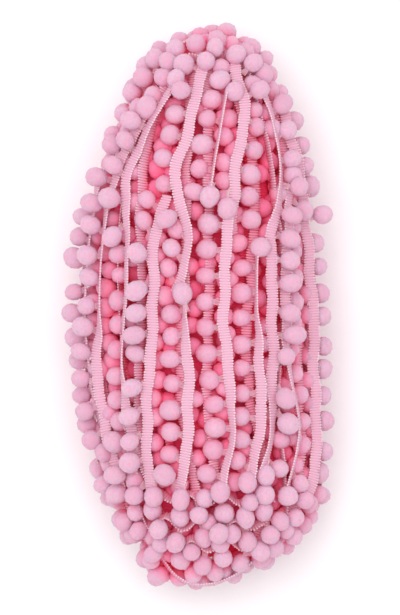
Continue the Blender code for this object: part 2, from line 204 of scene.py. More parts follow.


# Packed rayon gimp in the shade, painted crimson: the colour is painted shade for the
# light that scatters from thread to thread before it reaches the gaps. Only the lines of its
# ribs can be told.
RIB_PITCH = 1.3 * MM
WAVE_PERIOD = 0.314  # metres from band to band in a wave texture whose scale is 1
painted_shade_gimp, tree = fresh_material("packed_rayon_gimp_painted_shade")
place = add_node(tree, "ShaderNodeTexCoord").outputs["Object"]
ribs = add_node(tree, "ShaderNodeTexWave", {
    "Vector": place, "Scale": WAVE_PERIOD / RIB_PITCH, "Distortion": 2.0, "Detail": 1.0,
}, wave_type="BANDS", bands_direction="Y").outputs["Fac"]
uneven = add_node(tree, "ShaderNodeTexNoise", {"Vector": place, "Scale": 90.0, "Detail": 3.0})
# Painted shade: two crimsons, mixed by noise, stand in for the shade deep in the hank.
dye_and_painted_light = add_node(tree, "ShaderNodeMix", {
    "Factor": uneven, 6: linear("#FD4A7A"), 7: linear("#FD5E8C"),
}, data_type="RGBA").outputs[2]
cloth_surface(tree, dye_and_painted_light, ribs, 0.6, 0.5 * MM, {"Roughness": 0.9, "Specular IOR Level": 0.0})

HEART_INSET = 19 * MM
HEART_FLOOR = 16 * MM
heart_mesh = wound_form("heart", HEART_INSET, HEART_FLOOR, ridges=14, ridge_depth=1.5 * MM,
                        segments=112, rings=56)
for vert in heart_mesh.vertices:
    vert.co += Vector(PLACE)
heart_mesh.shade_smooth()
heart_mesh.materials.append(painted_shade_gimp)
heart = add_object("heart", heart_mesh)
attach(heart, "root")

# ---------------------------------------------------------------------------
# The outer turns.
# Each is a length of gimp braid, whose cross ribs end in picots, with acrylic pompoms
# tied to one edge. The winding leaves some level and some on edge, and the pompoms
# settle between them on their ties.
# ---------------------------------------------------------------------------

BALL_RADIUS = 5.0 * MM
BALL_SPREAD = 0.08  # pompoms differ by up to this share of their radius
BALL_PITCH = 12.2 * MM
BRAID_WIDTH = 5.5 * MM
BRAID_THICKNESS = 1.2 * MM
NECK = 1.3 * MM  # the tie between the braid's edge and a pompom
LONGEST_NECK = 2.9 * MM  # with its pompom pushed aside
ROOT_LENGTH = 3.0 * MM
LEAST_LEAN = 0.3  # a tie leans at least this share of its length away from the edge
GAP = 0.35 * MM
BRAID_INSET = 3.5 * MM  # from the tips of the pompoms down to the outer turns' braid
CORE_INSET = 12.2 * MM  # from the tips of the pompoms down to the inner turns
CORE_FLOOR = 11 * MM  # the inner turns' lowest height
STAND_PROUD = 2.2 * MM  # how much further out the middle of a braid on edge lies
SIDE_LIMIT = 0.97  # how far out a turn may lie on the upper side
SINKING = 0.2  # the share of a turn over which each end dips
SAMPLE_LENGTH = 2 * MM  # between the sections that the ribs follow
WAVER = 0.42  # how far a soft braid strays from its path in each of two waves, in mm
WAVER_PERIODS = (23, 37)  # their lengths in mm

# The turns that show on the upper side. Each row has the place across the hank
# and the tilt of the braid at every station along it, in millimetres and degrees.
# A tilt of 0 lies level and 90 stands on the edge that carries the pompoms.
# side is the side of the braid that its pompoms are on: -1 left, 1 right.
# sunk is how far the ends dip under other turns, top and foot, in millimetres.
STATIONS = (120, 90, 60, 30, 0, -30, -60, -90, -120)
UPPER_TURNS = (
    # name, side, top, foot, sunk, across, tilt
    ("upper_a", -1, 84, -69, (1, 3),
     (-26, -41, -50, -55.5, -57.5, -56, -49.5, -41, -33), (80, 80, 80, 80, 80, 80, 75, 75, 75)),
    ("upper_b", -1, 97, -88, (1, 2),
     (-12, -29, -42, -46.5, -48, -50, -46, -39, -27), (20, 20, 50, 80, 80, 15, 20, 40, 40)),
    ("upper_c", -1, 111, -87, (2, 2),
     (-5, -23, -35.5, -34.5, -35.5, -37, -34, -33, -28), (40, 60, 30, 65, 75, 80, 5, 40, 40)),
    ("upper_d", -1, 53, -92, (4, 1),
     (-10, -12, -16, -22.5, -22.5, -24.5, -26, -24, -20), (30, 30, 30, 10, 0, 5, 10, 35, 50)),
    ("upper_e", -1, 118, 7, (2, 4),
     (2, -4.5, -12, -5.5, -14.5, -15, -15, -15, -15), (10, 15, 0, 45, 20, 20, 20, 20, 20)),
    ("upper_f", -1, 6, -93, (3, 2),
     (-5, -5, -5, -5, -7.5, -6, -6, -9.5, -8), (75, 75, 75, 75, 75, 15, 10, 30, 0)),
    ("upper_g", -1, 46, -90, (0, 2),
     (14, 14, 14, 12.5, 11, 13, 15, 10, 8), (20, 20, 20, 10, 5, 10, 60, 35, 20)),
    ("upper_h", 1, 120, 34, (2, 6),
     (17, 21, 16, 17, 17, 17, 17, 17, 17), (10, 0, 5, 30, 30, 30, 30, 30, 30)),
    ("upper_i", -1, 27, -86, (2, 2),
     (27, 27, 27, 27, 26, 28, 28, 22.5, 20), (75, 75, 75, 75, 75, 20, 20, 45, 45)),
    ("upper_j", 1, 113, -83, (1, 2),
     (26.5, 34.5, 38, 34, 34.5, 34.5, 34, 28.5, 24), (30, 70, 75, 10, 0, 0, 65, 40, 30)),
    ("upper_k", 1, 60, -90, (1, 2),
     (43, 43, 44, 42, 41, 42, 47, 42, 38), (60, 60, 60, 20, 10, 70, 80, 75, 60)),
    ("upper_m", 1, 94, -94, (1, 1),
     (34, 42.5, 49, 52.5, 54.5, 56.5, 57, 53, 34), (10, 10, 10, 10, 5, 5, 10, 20, 20)),
)

# Short lengths of deeper turns that show between the others near the ends.
# across and the range along the hank are from top to foot.
SHORT_TURNS = (
    # name, side, along, sunk, across, tilt
    ("top_b", -1, (104, 50), 2, (12.5, 3.5), 80),
)

# The turns that cross the hank near its ends, past the ends of the others, as places
# across and along it. sunk is how deep they lie, in millimetres. At a tilt under 0
# the edge that carries the pompoms is the outer one, so the pompoms hide the braid.
CROSSING_TURNS = (
    # name, side, sunk, tilt, places
    ("top_c", 1, 5.2, -70,
     ((-41, 87), (-35, 97), (-28, 104), (-21, 111), (-13, 115), (-5, 120), (3, 118), (11, 121),
      (19, 117), (26, 111))),
    ("foot_b", -1, 5.2, -70,
     ((-43, -83), (-36, -89), (-29, -93), (-21, -89), (-13, -94), (-5, -90), (3, -95), (11, -90),
      (19, -95), (27, -90), (35, -93))),
    ("foot_c", -1, 5.2, -70,
     ((-32, -102), (-24, -106), (-16, -101), (-8, -107), (0, -102), (8, -107), (16, -102),
      (24, -107), (32, -102), (39, -101), (45, -95))),
    ("foot_d", -1, 5.2, -70,
     ((-19, -112), (-12, -117), (-4, -112), (4, -117), (12, -112), (20, -117), (28, -113),
      (35, -108))),
)

# The turns down the sides and underneath. around is the place round the hank's
# section, in degrees from its top towards +X, and sway how far a turn wanders.
LOWER_TURNS = (
    # name, side, top, foot, around, sway, tilt
    ("lower_b", -1, 45, -80, -95, 2, 10),
    ("lower_c", -1, 96, -110, -130, 3, 0),
    ("lower_d", -1, 101, -115, -161, 0, 0),
    ("lower_e", 1, 103, -111, 166, 0, 0),
    ("lower_f", 1, 98, -102, 134, 3, 0),
    ("lower_g", 1, 62, -92, 102, 3, 10),
)

# The turns that bend round the two ends, as places across and along the hank
# and heights above its axis, in millimetres
END_TURNS = (
    # name, side, tilt, places
    ("top_end", 1, 75,
     ((-25, 115, 1), (-19, 121, 1), (-11, 127, 2), (-1, 131, 3), (10, 131.5, 3), (20, 127, 2),
      (27, 119, 1))),
    ("foot_end", -1, 75,
     ((-27, -113, 5), (-23, -118, 5), (-18, -124, 6), (-12, -131, 7), (-3, -135.5, 7),
      (8, -134.5, 6), (20, -129, 5), (31, -120, 4))),
)


def unit(rows):
    return rows / np.linalg.norm(rows, axis=1, keepdims=True)


def outward(points, inset):
    """The hank's outward direction at points on or near its skin."""

    def level(p):
        left, right = half_widths(p[:, 1], inset)
        deep = np.maximum(half_depth(p[:, 1], inset), 2 * MM)
        across = (p[:, 0] - (left + right) / 2) / ((right - left) / 2)
        return across**2 + ((p[:, 2] - AXIS_HEIGHT) / deep) ** 2

    step = 0.2 * MM
    slopes = [level(points + move) - level(points - move) for move in np.eye(3) * step]
    return unit(np.stack(slopes, axis=-1))


def read_along(reach, rows, marks):
    """The rows, one for each place in reach, read at the marks between them."""
    return np.stack([np.interp(marks, reach, column) for column in rows.T], axis=1)


class Sections:
    """A braid's cross-sections at marks along its path."""

    def __init__(self, side, reach, path, normals, outwards, tilts, marks):
        self.centre = read_along(reach, path, marks)
        self.outward = read_along(reach, outwards, marks)
        self.ahead = unit(np.gradient(self.centre, axis=0))
        normal = read_along(reach, normals, marks)
        normal = unit(normal - self.ahead * (normal * self.ahead).sum(1, keepdims=True))
        self.sideways = np.cross(normal, self.ahead)
        tilt = np.radians(np.interp(marks, reach, tilts))[:, None]
        self.width = -side * np.cos(tilt) * self.sideways + np.sin(tilt) * normal
        self.up = side * np.sin(tilt) * self.sideways + np.cos(tilt) * normal
        stands = np.clip((self.width * self.outward).sum(1, keepdims=True), 0, 1)
        self.centre += self.outward * stands * STAND_PROUD

    def sink(self, depth):
        """Lays the braid that much deeper in the hank."""
        self.centre -= self.outward * depth

    def lift_off_floor(self):
        """Lifts the braid where its lowest edge would be under the floor."""
        reach = np.abs(self.width[:, 2]) * BRAID_WIDTH / 2
        reach += np.abs(self.up[:, 2]) * BRAID_THICKNESS / 2
        self.centre[:, 2] += np.maximum(0, reach - self.centre[:, 2])


class Turn:
    """One turn of trim: its braid's sections at the ties, and closer ones for its ribs,
    which waver a little from side to side."""

    def __init__(self, name, side, path, normals, outwards, tilts):
        self.name = name
        self.side = side
        steps = np.linalg.norm(np.diff(path, axis=0), axis=1)
        reach = np.concatenate([[0], np.cumsum(steps)])
        self.count = int((reach[-1] - 2 * ROOT_LENGTH) / BALL_PITCH) + 1
        ties = (reach[-1] - (self.count - 1) * BALL_PITCH) / 2 + BALL_PITCH * np.arange(self.count)
        edges = np.sort(np.concatenate([ties - ROOT_LENGTH / 2, ties + ROOT_LENGTH / 2]))
        marks = np.concatenate([[0], edges, [reach[-1]]])
        close = np.linspace(0, reach[-1], int(reach[-1] / SAMPLE_LENGTH))
        self.at_ties = Sections(side, reach, path, normals, outwards, tilts, marks)
        self.close = Sections(side, reach, path, normals, outwards, tilts, close)
        waver = sum(
            WAVER * np.sin(close / (period * MM) * math.tau + len(name) + period * side)
            for period in WAVER_PERIODS
        )
        self.close.centre += self.close.width * waver[:, None] * MM

    def root(self, k):
        """The middle of pompom k's tie, on the braid's edge."""
        i = 1 + 2 * k
        middle = (self.at_ties.centre[i] + self.at_ties.centre[i + 1]) / 2
        width = (self.at_ties.width[i] + self.at_ties.width[i + 1]) / 2
        return middle - width * BRAID_WIDTH / 2

    def first_way(self, k):
        """The way pompom k leaves the braid before it settles."""
        i = 1 + 2 * k
        way = self.side * self.at_ties.sideways[i] + FIRST_RISE * self.at_ties.outward[i]
        return way / np.linalg.norm(way)

    def samples(self):
        """Points all over the braid, for keeping pompoms off it."""
        found = []
        centres, widths = self.at_ties.centre, self.at_ties.width
        for i in range(len(centres) - 1):
            for t in np.arange(0, 1, 0.2):
                centre = centres[i] * (1 - t) + centres[i + 1] * t
                width = widths[i] * (1 - t) + widths[i + 1] * t
                found += [centre + width * BRAID_WIDTH * a for a in (-0.5, -0.25, 0, 0.25, 0.5)]
        return found


def on_upper_side(across, along, inset):
    """The points there on the hank's upper side, that deep, and the ways out of it."""
    left, right = half_widths(along, inset)
    share = (across - (left + right) / 2) / ((right - left) / 2)
    path = skin(along, np.arcsin(np.clip(share, -SIDE_LIMIT, SIDE_LIMIT)), inset)
    return path, outward(path, inset)


def smooth_columns(places):
    """Smooth lines through the columns of a row's places, in metres."""
    places = np.array(places, float) * MM
    order = np.arange(len(places), 0, -1)
    at = np.linspace(order[0], order[-1], 60)
    return [smooth(order, column, at) for column in places.T]


def upper_turn(name, side, top, foot, sunk, across, tilt, stations=STATIONS):
    """A turn on the upper side, from its row in the table."""
    along = np.linspace(top, foot, 120) * MM
    stations = np.array(stations) * MM
    path, outwards = on_upper_side(smooth(stations, np.array(across) * MM, along), along,
                                   BRAID_INSET)
    done = np.linspace(0, 1, len(along))
    top_dip = sunk[0] * np.clip(1 - done / SINKING, 0, 1)
    foot_dip = sunk[1] * np.clip(1 - (1 - done) / SINKING, 0, 1)
    path -= outwards * (top_dip + foot_dip)[:, None] * MM
    upright = np.tile((0.0, 0.0, 1.0), (len(path), 1))
    return Turn(name, side, path, upright, outwards, smooth(stations, tilt, along))


def short_turn(name, side, along, sunk, across, tilt):
    """A turn that lies evenly deep under the others."""
    made = upper_turn(name, side, *along, (0, 0), across, (tilt, tilt), along)
    made.at_ties.sink(sunk * MM)
    made.close.sink(sunk * MM)
    return made


def crossing_turn(name, side, sunk, tilt, places):
    """A turn that crosses the upper side, through the places in its row."""
    path, outwards = on_upper_side(*smooth_columns(places), BRAID_INSET + sunk * MM)
    return Turn(name, side, path, outwards, outwards, np.full(len(path), float(tilt)))


def lower_turn(name, side, top, foot, around, sway, tilt, inset=BRAID_INSET):
    """A turn down a side or underneath. Where it would reach under the floor, it lies on it."""
    along = np.linspace(top, foot, 120) * MM
    wave = np.sin(np.linspace(0, 3 * math.pi, len(along)) + around)
    path = skin(along, np.radians(around + sway * wave), inset)
    normals = outward(path, inset)
    low = path[:, 2] < BRAID_THICKNESS / 2
    path[low, 2] = BRAID_THICKNESS / 2
    normals[low] = (0, 0, -1)
    made = Turn(name, side, path, normals, normals, np.full(len(along), float(tilt)))
    made.at_ties.lift_off_floor()
    made.close.lift_off_floor()
    return made


def end_turn(name, side, tilt, places):
    """A turn that bends round an end of the hank, through the places in its row."""
    path = np.stack(smooth_columns(places), 1)
    path[:, 2] += AXIS_HEIGHT
    upright = np.tile((0.0, 0.0, 1.0), (len(path), 1))
    return Turn(name, side, path, upright, upright, np.full(len(path), float(tilt)))


# How the pompoms settle
SEED = 7
FIRST_RISE = 0.5  # how steeply they leave the braid at first, towards the outside
SETTLING = 0.6  # the share of the steps in which they sink towards a surface
SETTLE_STEP = 0.25 * MM
PUSH = 0.55  # the share of an overlap that one of two pieces gives way in one step
BRAID_CLEARANCE = BRAID_THICKNESS / 2 + GAP + 0.1 * MM
FLOOR_CLEARANCE = 0.02 * MM


def tree_of(points):
    tree = KDTree(len(points))
    for i, point in enumerate(points):
        tree.insert(point, i)
    tree.balance()
    return tree


def surface_of(mesh):
    bm = bmesh.new()
    bm.from_mesh(mesh)
    made = BVHTree.FromBMesh(bm)
    bm.free()
    return made


def samples_of(turns):
    return [Vector(p) for turn in turns for p in turn.samples()]


def hung_pompoms(turns, seed):
    """The middles of the turns' ties, and their pompoms' radii and places before settling."""
    roots = np.array([turn.root(k) for turn in turns for k in range(turn.count)])
    ways = np.array([turn.first_way(k) for turn in turns for k in range(turn.count)])
    spread = np.random.default_rng(seed).uniform(-BALL_SPREAD, BALL_SPREAD, len(roots))
    radii = BALL_RADIUS * (1 + spread)
    centres = [Vector(c) for c in roots + ways * (radii + NECK)[:, None]]
    return [Vector(root) for root in roots], radii, centres


def settle(turns, seed, braids, surface, side, steps, gap, apart, beside, shares, ties,
           fixed=(), least_lean=0):
    """The turns' pompoms once they lie still, as places and radii, and a tree of the
    braids. Each sinks on its own tie towards its side of the surface, and is pushed clear
    of the others, the braids and the floor. gap, apart and beside are how far it keeps
    from the surface, another pompom and the middle of a braid. In one step it gives way
    by these shares of an overlap, to a pompom and to a braid. ties has the shortest and
    the longest, and fixed has the tree, radii and share of pompoms that stay in place."""
    roots, radii, centres = hung_pompoms(turns, seed)
    edges = [Vector(-t.at_ties.width[1 + 2 * k]) for t in turns for k in range(t.count)]
    braid = tree_of(braids + samples_of(turns))
    for step in range(steps):
        others = tree_of(centres)
        for i, c in enumerate(centres):
            r = radii[i]
            near, normal, _, _ = surface.find_nearest(c)
            normal = normal * side
            short = r + gap - (c - near).dot(normal)
            if short > 0:
                c = c + normal * short
            elif step < SETTLING * steps:
                c = c - normal * min(SETTLE_STEP, -short)
            for tree, their_radii, share in (*fixed, (others, radii, shares[0])):
                for other, j, distance in tree.find_range(c, 2.2 * BALL_RADIUS):
                    short = r + their_radii[j] + apart - distance
                    if short > 0 and (j != i or tree is not others):
                        c = c + (c - other).normalized() * short * share
            for other, _, distance in braid.find_range(c, r + beside):
                c = c + (c - other).normalized() * (r + beside - distance) * shares[1]
            tie = c - roots[i]
            if least_lean:
                tie += edges[i] * max(0, least_lean * tie.length - tie.dot(edges[i]))
            length = min(max(tie.length, r + ties[0]), r + ties[1])
            c = roots[i] + tie.normalized() * length
            c.z = max(c.z, r + FLOOR_CLEARANCE)
            centres[i] = c
    return centres, radii, braid


def settle_pompoms(turns, inner):
    """Where the outer pompoms lie on the inner turns and how big they are. One that is
    still crowded at the end is as small as its room."""
    centres, radii, braid = settle(
        turns, SEED, [], inner, side=1, steps=160, gap=GAP, apart=GAP, beside=BRAID_CLEARANCE,
        shares=(PUSH, PUSH), ties=(NECK, LONGEST_NECK), least_lean=LEAST_LEAN,
    )
    others = tree_of(centres)
    for i, c in enumerate(centres):
        near, normal, _, _ = inner.find_nearest(c)
        room = [(c - near).dot(normal) - GAP, braid.find(c)[2] - BRAID_CLEARANCE]
        for _, j, distance in others.find_range(c, 2.4 * BALL_RADIUS):
            if j != i and distance < radii[i] + radii[j] + GAP:
                room.append((distance - GAP) * radii[i] / (radii[i] + radii[j]))
        radii[i] = min(radii[i], *room)
    return centres, radii.tolist()


def depth_under_tips(points):
    """How deep points lie under the pompoms' tips, in millimetres."""
    across, along, high = points.T
    left, right = half_widths(along, 0)
    across = across - (left + right) / 2
    high = high - AXIS_HEIGHT
    tips = np.maximum(half_depth(along, 0), 2 * MM)
    share = np.hypot(across / ((right - left) / 2), high / tips)
    inwards = np.hypot(across, high) * (1 / np.clip(share, 0.05, None) - 1)
    return np.minimum(inwards, HALF_LENGTH - np.abs(along)) / MM


def painted_depth_shade(tree, pink, crimson, first, last):
    """Paints shade into the pink of a fibre: it turns crimson with its depth in the hank, as
    painted shade for the light that gets there only after passing from fibre to fibre."""
    deep = add_node(tree, "ShaderNodeAttribute", attribute_name="deep")
    share = add_node(tree, "ShaderNodeMapRange", {
        "Value": deep.outputs["Fac"], "From Min": first, "From Max": last,
    }, interpolation_type="SMOOTHSTEP")
    return add_node(tree, "ShaderNodeMix", {
        "Factor": share, 6: pink, 7: linear(crimson),
    }, data_type="RGBA").outputs[2]


# Acrylic pile, clipped round: dull and velvety. Its clipped ends are a pale, cool pink, and
# the yarn between them is painted a fuller pink, as shade between the tufts. Deeper in the
# hank the pile is painted crimson as shade. Light soaks in, red the furthest. Tufts are
# about 1 mm.
pile, tree = fresh_material("clipped_acrylic_pile")
place = add_node(tree, "ShaderNodeTexCoord").outputs["Object"]
tufts = add_node(tree, "ShaderNodeTexVoronoi", {"Vector": place, "Scale": 1 / (1.1 * MM)})
fuzz = add_node(tree, "ShaderNodeTexNoise", {"Vector": place, "Scale": 1 / (0.6 * MM), "Detail": 2.0})
each = add_node(tree, "ShaderNodeAttribute", attribute_name="shade").outputs["Fac"]
dye_and_painted_light = add_node(tree, "ShaderNodeMix", {
    "Factor": each, 6: linear("#DEB1C6"), 7: linear("#E0BDD0"),
}, data_type="RGBA").outputs[2]
# Painted shade: the yarn between the tufts is a deeper pink.
roots = add_node(tree, "ShaderNodeMapRange", {
    "Value": tufts, "From Min": 0.25, "From Max": 0.9, "To Max": 0.5,
})
pink = add_node(tree, "ShaderNodeMix", {
    "Factor": roots, 6: dye_and_painted_light, 7: linear("#E49EB9"),
}, data_type="RGBA").outputs[2]
height = add_node(tree, "ShaderNodeMath", {0: fuzz, 1: tufts}, operation="SUBTRACT")
# Painted shade: the pile turns crimson deeper in the hank.
cloth_surface(tree, painted_depth_shade(tree, pink, "#FF78A0", 0.5, 14.0), height, 0.3, 0.3 * MM, {
    "Roughness": 0.95, "Specular IOR Level": 0.0, "Subsurface Weight": 0.55,
    "Subsurface Radius": (1.0, 0.15, 0.25), "Subsurface Scale": 4 * MM,
})

# Rayon gimp: yarn wrapped round a core thread, so each rib has fine slanting lines and a
# soft lustre. The picots at its ends are painted paler, for the light that comes through
# them, and deeper in the hank the braid is painted crimson as shade.
gimp, tree = fresh_material("woven_rayon_gimp")
LUSTRE = {"Roughness": 0.6, "Specular IOR Level": 0.15}
WRAP_PITCH = 0.45 * MM  # wider than the real wrapping, so that it shows
on_rib = add_node(tree, "ShaderNodeAttribute", attribute_name="on_rib").outputs["Vector"]
wraps = add_node(tree, "ShaderNodeTexWave", {
    "Vector": on_rib, "Scale": 2 * WAVE_PERIOD / WRAP_PITCH, "Distortion": 0.5,
}, wave_type="BANDS", bands_direction="DIAGONAL").outputs["Fac"]
along_rib = add_node(tree, "ShaderNodeSeparateXYZ", {0: on_rib}).outputs["Z"]
from_middle = add_node(tree, "ShaderNodeMath", {0: along_rib}, operation="ABSOLUTE")
# Painted light: the picots are paler near the rib ends, for light coming through them.
picot = add_node(tree, "ShaderNodeMapRange", {
    "Value": from_middle, "From Min": 0.34 * BRAID_WIDTH, "From Max": 0.46 * BRAID_WIDTH,
})
dye_and_painted_light = add_node(tree, "ShaderNodeMix", {
    "Factor": picot, 6: linear("#E8B5C9"), 7: linear("#F6D6E2"),
}, data_type="RGBA").outputs[2]
# Painted shade: the braid turns crimson deeper in the hank.
cloth_surface(tree, painted_depth_shade(tree, dye_and_painted_light, "#FF4E7E", 4.5, 18.0), wraps, 0.35, 0.1 * MM, LUSTRE)

# Polyester tie thread: plied and smooth, a little paler than the braid.
# Deeper in the hank it is painted crimson as shade.
thread, tree = fresh_material("polyester_tie_thread")
place = add_node(tree, "ShaderNodeTexCoord").outputs["Object"]
plies = add_node(tree, "ShaderNodeTexWave", {
    "Vector": place, "Scale": 2 * WAVE_PERIOD / (0.5 * MM),
}, wave_type="BANDS", bands_direction="DIAGONAL").outputs["Fac"]
# Painted shade: the thread turns crimson deeper in the hank.
cloth_surface(tree, painted_depth_shade(tree, linear("#F0C4D2"), "#FC5482", 3.0, 14.0), plies, 0.4, 0.1 * MM,
              LUSTRE)

# The tree that makes trim. It takes a mesh with the braid's path as edges, and a loose
# point for each pompom. across and facing turn the ribs, and way and along the pompoms.
trim = bpy.data.node_groups.new("pompom_trim", "GeometryNodeTree")
trim.interface.new_socket(name="Geometry", in_out="INPUT", socket_type="NodeSocketGeometry")
trim.interface.new_socket(name="Geometry", in_out="OUTPUT", socket_type="NodeSocketGeometry")
for label, kind, value in (
    ("Rib pitch", "Float", RIB_PITCH),
    ("Rib length", "Float", BRAID_WIDTH),
    ("Rib height", "Float", 1.15 * MM),
    ("Rib sides", "Int", 6),
    ("Rib cuts", "Int", 10),
    ("Tie thread", "Float", 0.42 * MM),
    ("Pompom cuts", "Int", 4),
    ("Pompom lumps", "Float", 1.6 * MM),
    ("Fibre length", "Float", 0.9 * MM),
    ("Fibre width", "Float", 0.14 * MM),
    ("Fibres to a square metre", "Float", 200000.0),
    ("Seed", "Int", 3),
    ("Braid", "Material", gimp),
    ("Thread", "Material", thread),
    ("Pile", "Material", pile),
):
    socket = trim.interface.new_socket(label, in_out="INPUT", socket_type="NodeSocket" + kind)
    socket.default_value = value
given = add_node(trim, "NodeGroupInput").outputs
named = {
    name: add_node(trim, "GeometryNodeInputNamedAttribute", {"Name": name}, data_type=kind)
    for name, kind in (
        ("across", "FLOAT_VECTOR"), ("facing", "FLOAT_VECTOR"), ("way", "FLOAT_VECTOR"),
        ("along", "FLOAT_VECTOR"), ("root", "FLOAT_VECTOR"), ("radius", "FLOAT"),
        ("tie", "FLOAT"), ("is_pompom", "BOOLEAN"),
    )
}
position = add_node(trim, "GeometryNodeInputPosition")

# A rib is a thick thread that narrows to a round picot at each edge of the braid, with its
# cuts closer there. Its own place is kept as on_rib, which the gimp's wrapping follows.
RIB_THICKNESS = 1.32  # along the braid, of the pitch, as each rib is pressed into the next
half_length, half_height, half_thread = (
    add_node(trim, "ShaderNodeMath", {0: given[label], 1: 0.5}, operation="MULTIPLY")
    for label in ("Rib length", "Rib height", "Tie thread")
)
rod = add_node(trim, "GeometryNodeMeshCylinder", {
    "Vertices": given["Rib sides"], "Side Segments": given["Rib cuts"], "Radius": 1.0, "Depth": 2.0,
}, fill_type="NGON")
xyz = add_node(trim, "ShaderNodeSeparateXYZ", {0: position}).outputs
outer = add_node(trim, "ShaderNodeMath", {0: xyz["Z"]}, operation="ABSOLUTE")
inner = add_node(trim, "ShaderNodeMath", {0: 1.0, 1: outer}, operation="SUBTRACT")
CUTS_NEAR_ENDS = 1.3  # at 1 the cuts are even
inner = add_node(trim, "ShaderNodeMath", {0: inner, 1: CUTS_NEAR_ENDS}, operation="POWER")
at_end = add_node(trim, "ShaderNodeMath", {0: 1.0, 1: inner}, operation="SUBTRACT")
end = add_node(trim, "ShaderNodeMath", {0: xyz["Z"]}, operation="SIGN")
reach = add_node(trim, "ShaderNodeMath", {0: at_end, 1: end}, operation="MULTIPLY")
reach = add_node(trim, "ShaderNodeMath", {0: reach, 1: half_length}, operation="MULTIPLY")
round_end = add_node(trim, "ShaderNodeFloatCurve", {"Value": at_end})
girths = round_end.mapping.curves[0].points  # from a rib's middle to its end
girths[0].location = (0.0, 1.0)
girths[1].location = (1.0, 0.26)
for reached, girth in ((0.252, 0.976), (0.485, 0.926), (0.696, 0.842), (0.877, 0.687)):
    girths.new(reached, girth)
round_end.mapping.update()
half_pitch = add_node(trim, "ShaderNodeMath", {
    0: given["Rib pitch"], 1: RIB_THICKNESS / 2,
}, operation="MULTIPLY")
sizes = add_node(trim, "ShaderNodeCombineXYZ", {0: half_height, 1: half_pitch})
sizes = add_node(trim, "ShaderNodeVectorMath", {0: sizes, "Scale": round_end}, operation="SCALE")
girth = add_node(trim, "ShaderNodeVectorMath", {0: position, 1: sizes}, operation="MULTIPLY")
reach = add_node(trim, "ShaderNodeCombineXYZ", {2: reach})
shaped = add_node(trim, "ShaderNodeVectorMath", {0: girth, 1: reach}, operation="ADD")
rib = add_node(trim, "GeometryNodeSetPosition", {"Geometry": rod, "Position": shaped})
rib = add_node(trim, "GeometryNodeStoreNamedAttribute", {
    "Geometry": rib, "Name": "on_rib", "Value": position,
}, data_type="FLOAT_VECTOR", domain="POINT")

path = add_node(trim, "GeometryNodeMeshToCurve", {"Mesh": given["Geometry"]})
path = add_node(trim, "GeometryNodeResampleCurve", {
    "Curve": path, "Length": given["Rib pitch"],
}, mode="LENGTH")
turned = add_node(trim, "FunctionNodeAxesToRotation", {
    "Primary Axis": named["across"], "Secondary Axis": named["facing"],
}, primary_axis="Z", secondary_axis="X")
uneven = add_node(trim, "FunctionNodeRandomValue", {
    0: (0.9, 0.94, 0.92), 1: (1.1, 1.0, 1.08), "Seed": given["Seed"],
}, data_type="FLOAT_VECTOR")
ribs = add_node(trim, "GeometryNodeInstanceOnPoints", {
    "Points": path, "Instance": rib, "Rotation": turned, "Scale": uneven,
})
ribs = add_node(trim, "GeometryNodeRealizeInstances", {"Geometry": ribs})
ribs = add_node(trim, "GeometryNodeSetMaterial", {"Geometry": ribs, "Material": given["Braid"]})

# A tie is five threads that fan out from the pompom to the braid's edge.
strands = [
    add_node(trim, "GeometryNodeCurvePrimitiveLine", {
        "Start": (side * 1.6 * MM, 0, 0), "End": (side * 0.8 * MM, 0, 1),
    })
    for side in (-1, -0.5, 0, 0.5, 1)
]
strands = add_node(trim, "GeometryNodeJoinGeometry", {0: strands})
ring = add_node(trim, "GeometryNodeCurvePrimitiveCircle", {"Resolution": 4, "Radius": half_thread})
tie = add_node(trim, "GeometryNodeCurveToMesh", {
    "Curve": strands, "Profile Curve": ring, "Fill Caps": True,
})
loose = add_node(trim, "GeometryNodeSeparateGeometry", {
    "Geometry": given["Geometry"], "Selection": named["is_pompom"],
}, domain="POINT")
at_roots = add_node(trim, "GeometryNodeSetPosition", {"Geometry": loose, "Position": named["root"]})
turned = add_node(trim, "FunctionNodeAxesToRotation", {
    "Primary Axis": named["way"], "Secondary Axis": named["along"],
}, primary_axis="Z", secondary_axis="X")
stretch = add_node(trim, "ShaderNodeCombineXYZ", {0: 1.0, 1: 1.0, 2: named["tie"]})
ties = add_node(trim, "GeometryNodeInstanceOnPoints", {
    "Points": at_roots, "Instance": tie, "Rotation": turned, "Scale": stretch,
})
ties = add_node(trim, "GeometryNodeRealizeInstances", {"Geometry": ties})
ties = add_node(trim, "GeometryNodeSetMaterial", {"Geometry": ties, "Material": given["Thread"]})

# A pompom is a cut cube blown round, a little longer along its tie and pressed in places.
box = add_node(trim, "GeometryNodeMeshCube", {
    "Size": (2, 2, 2), "Vertices X": given["Pompom cuts"], "Vertices Y": given["Pompom cuts"],
    "Vertices Z": given["Pompom cuts"],
})
spread = add_node(trim, "ShaderNodeVectorMath", {0: position, "Scale": math.pi / 4}, operation="SCALE")
spread = add_node(trim, "ShaderNodeVectorMath", {0: spread}, operation="TANGENT")
spread = add_node(trim, "ShaderNodeVectorMath", {0: spread}, operation="NORMALIZE")
ball = add_node(trim, "GeometryNodeSetPosition", {"Geometry": box, "Position": spread})
uneven = add_node(trim, "FunctionNodeRandomValue", {
    0: (0.88, 0.88, 0.96), 1: (1.02, 1.02, 1.16), "Seed": given["Seed"],
}, data_type="FLOAT_VECTOR")
uneven = add_node(trim, "ShaderNodeVectorMath", {
    0: uneven, "Scale": named["radius"],
}, operation="SCALE")
balls = add_node(trim, "GeometryNodeInstanceOnPoints", {
    "Points": loose, "Instance": ball, "Rotation": turned, "Scale": uneven,
})
dye_lot = add_node(trim, "FunctionNodeRandomValue", {
    "Seed": given["Seed"],
}, data_type="FLOAT").outputs[1]
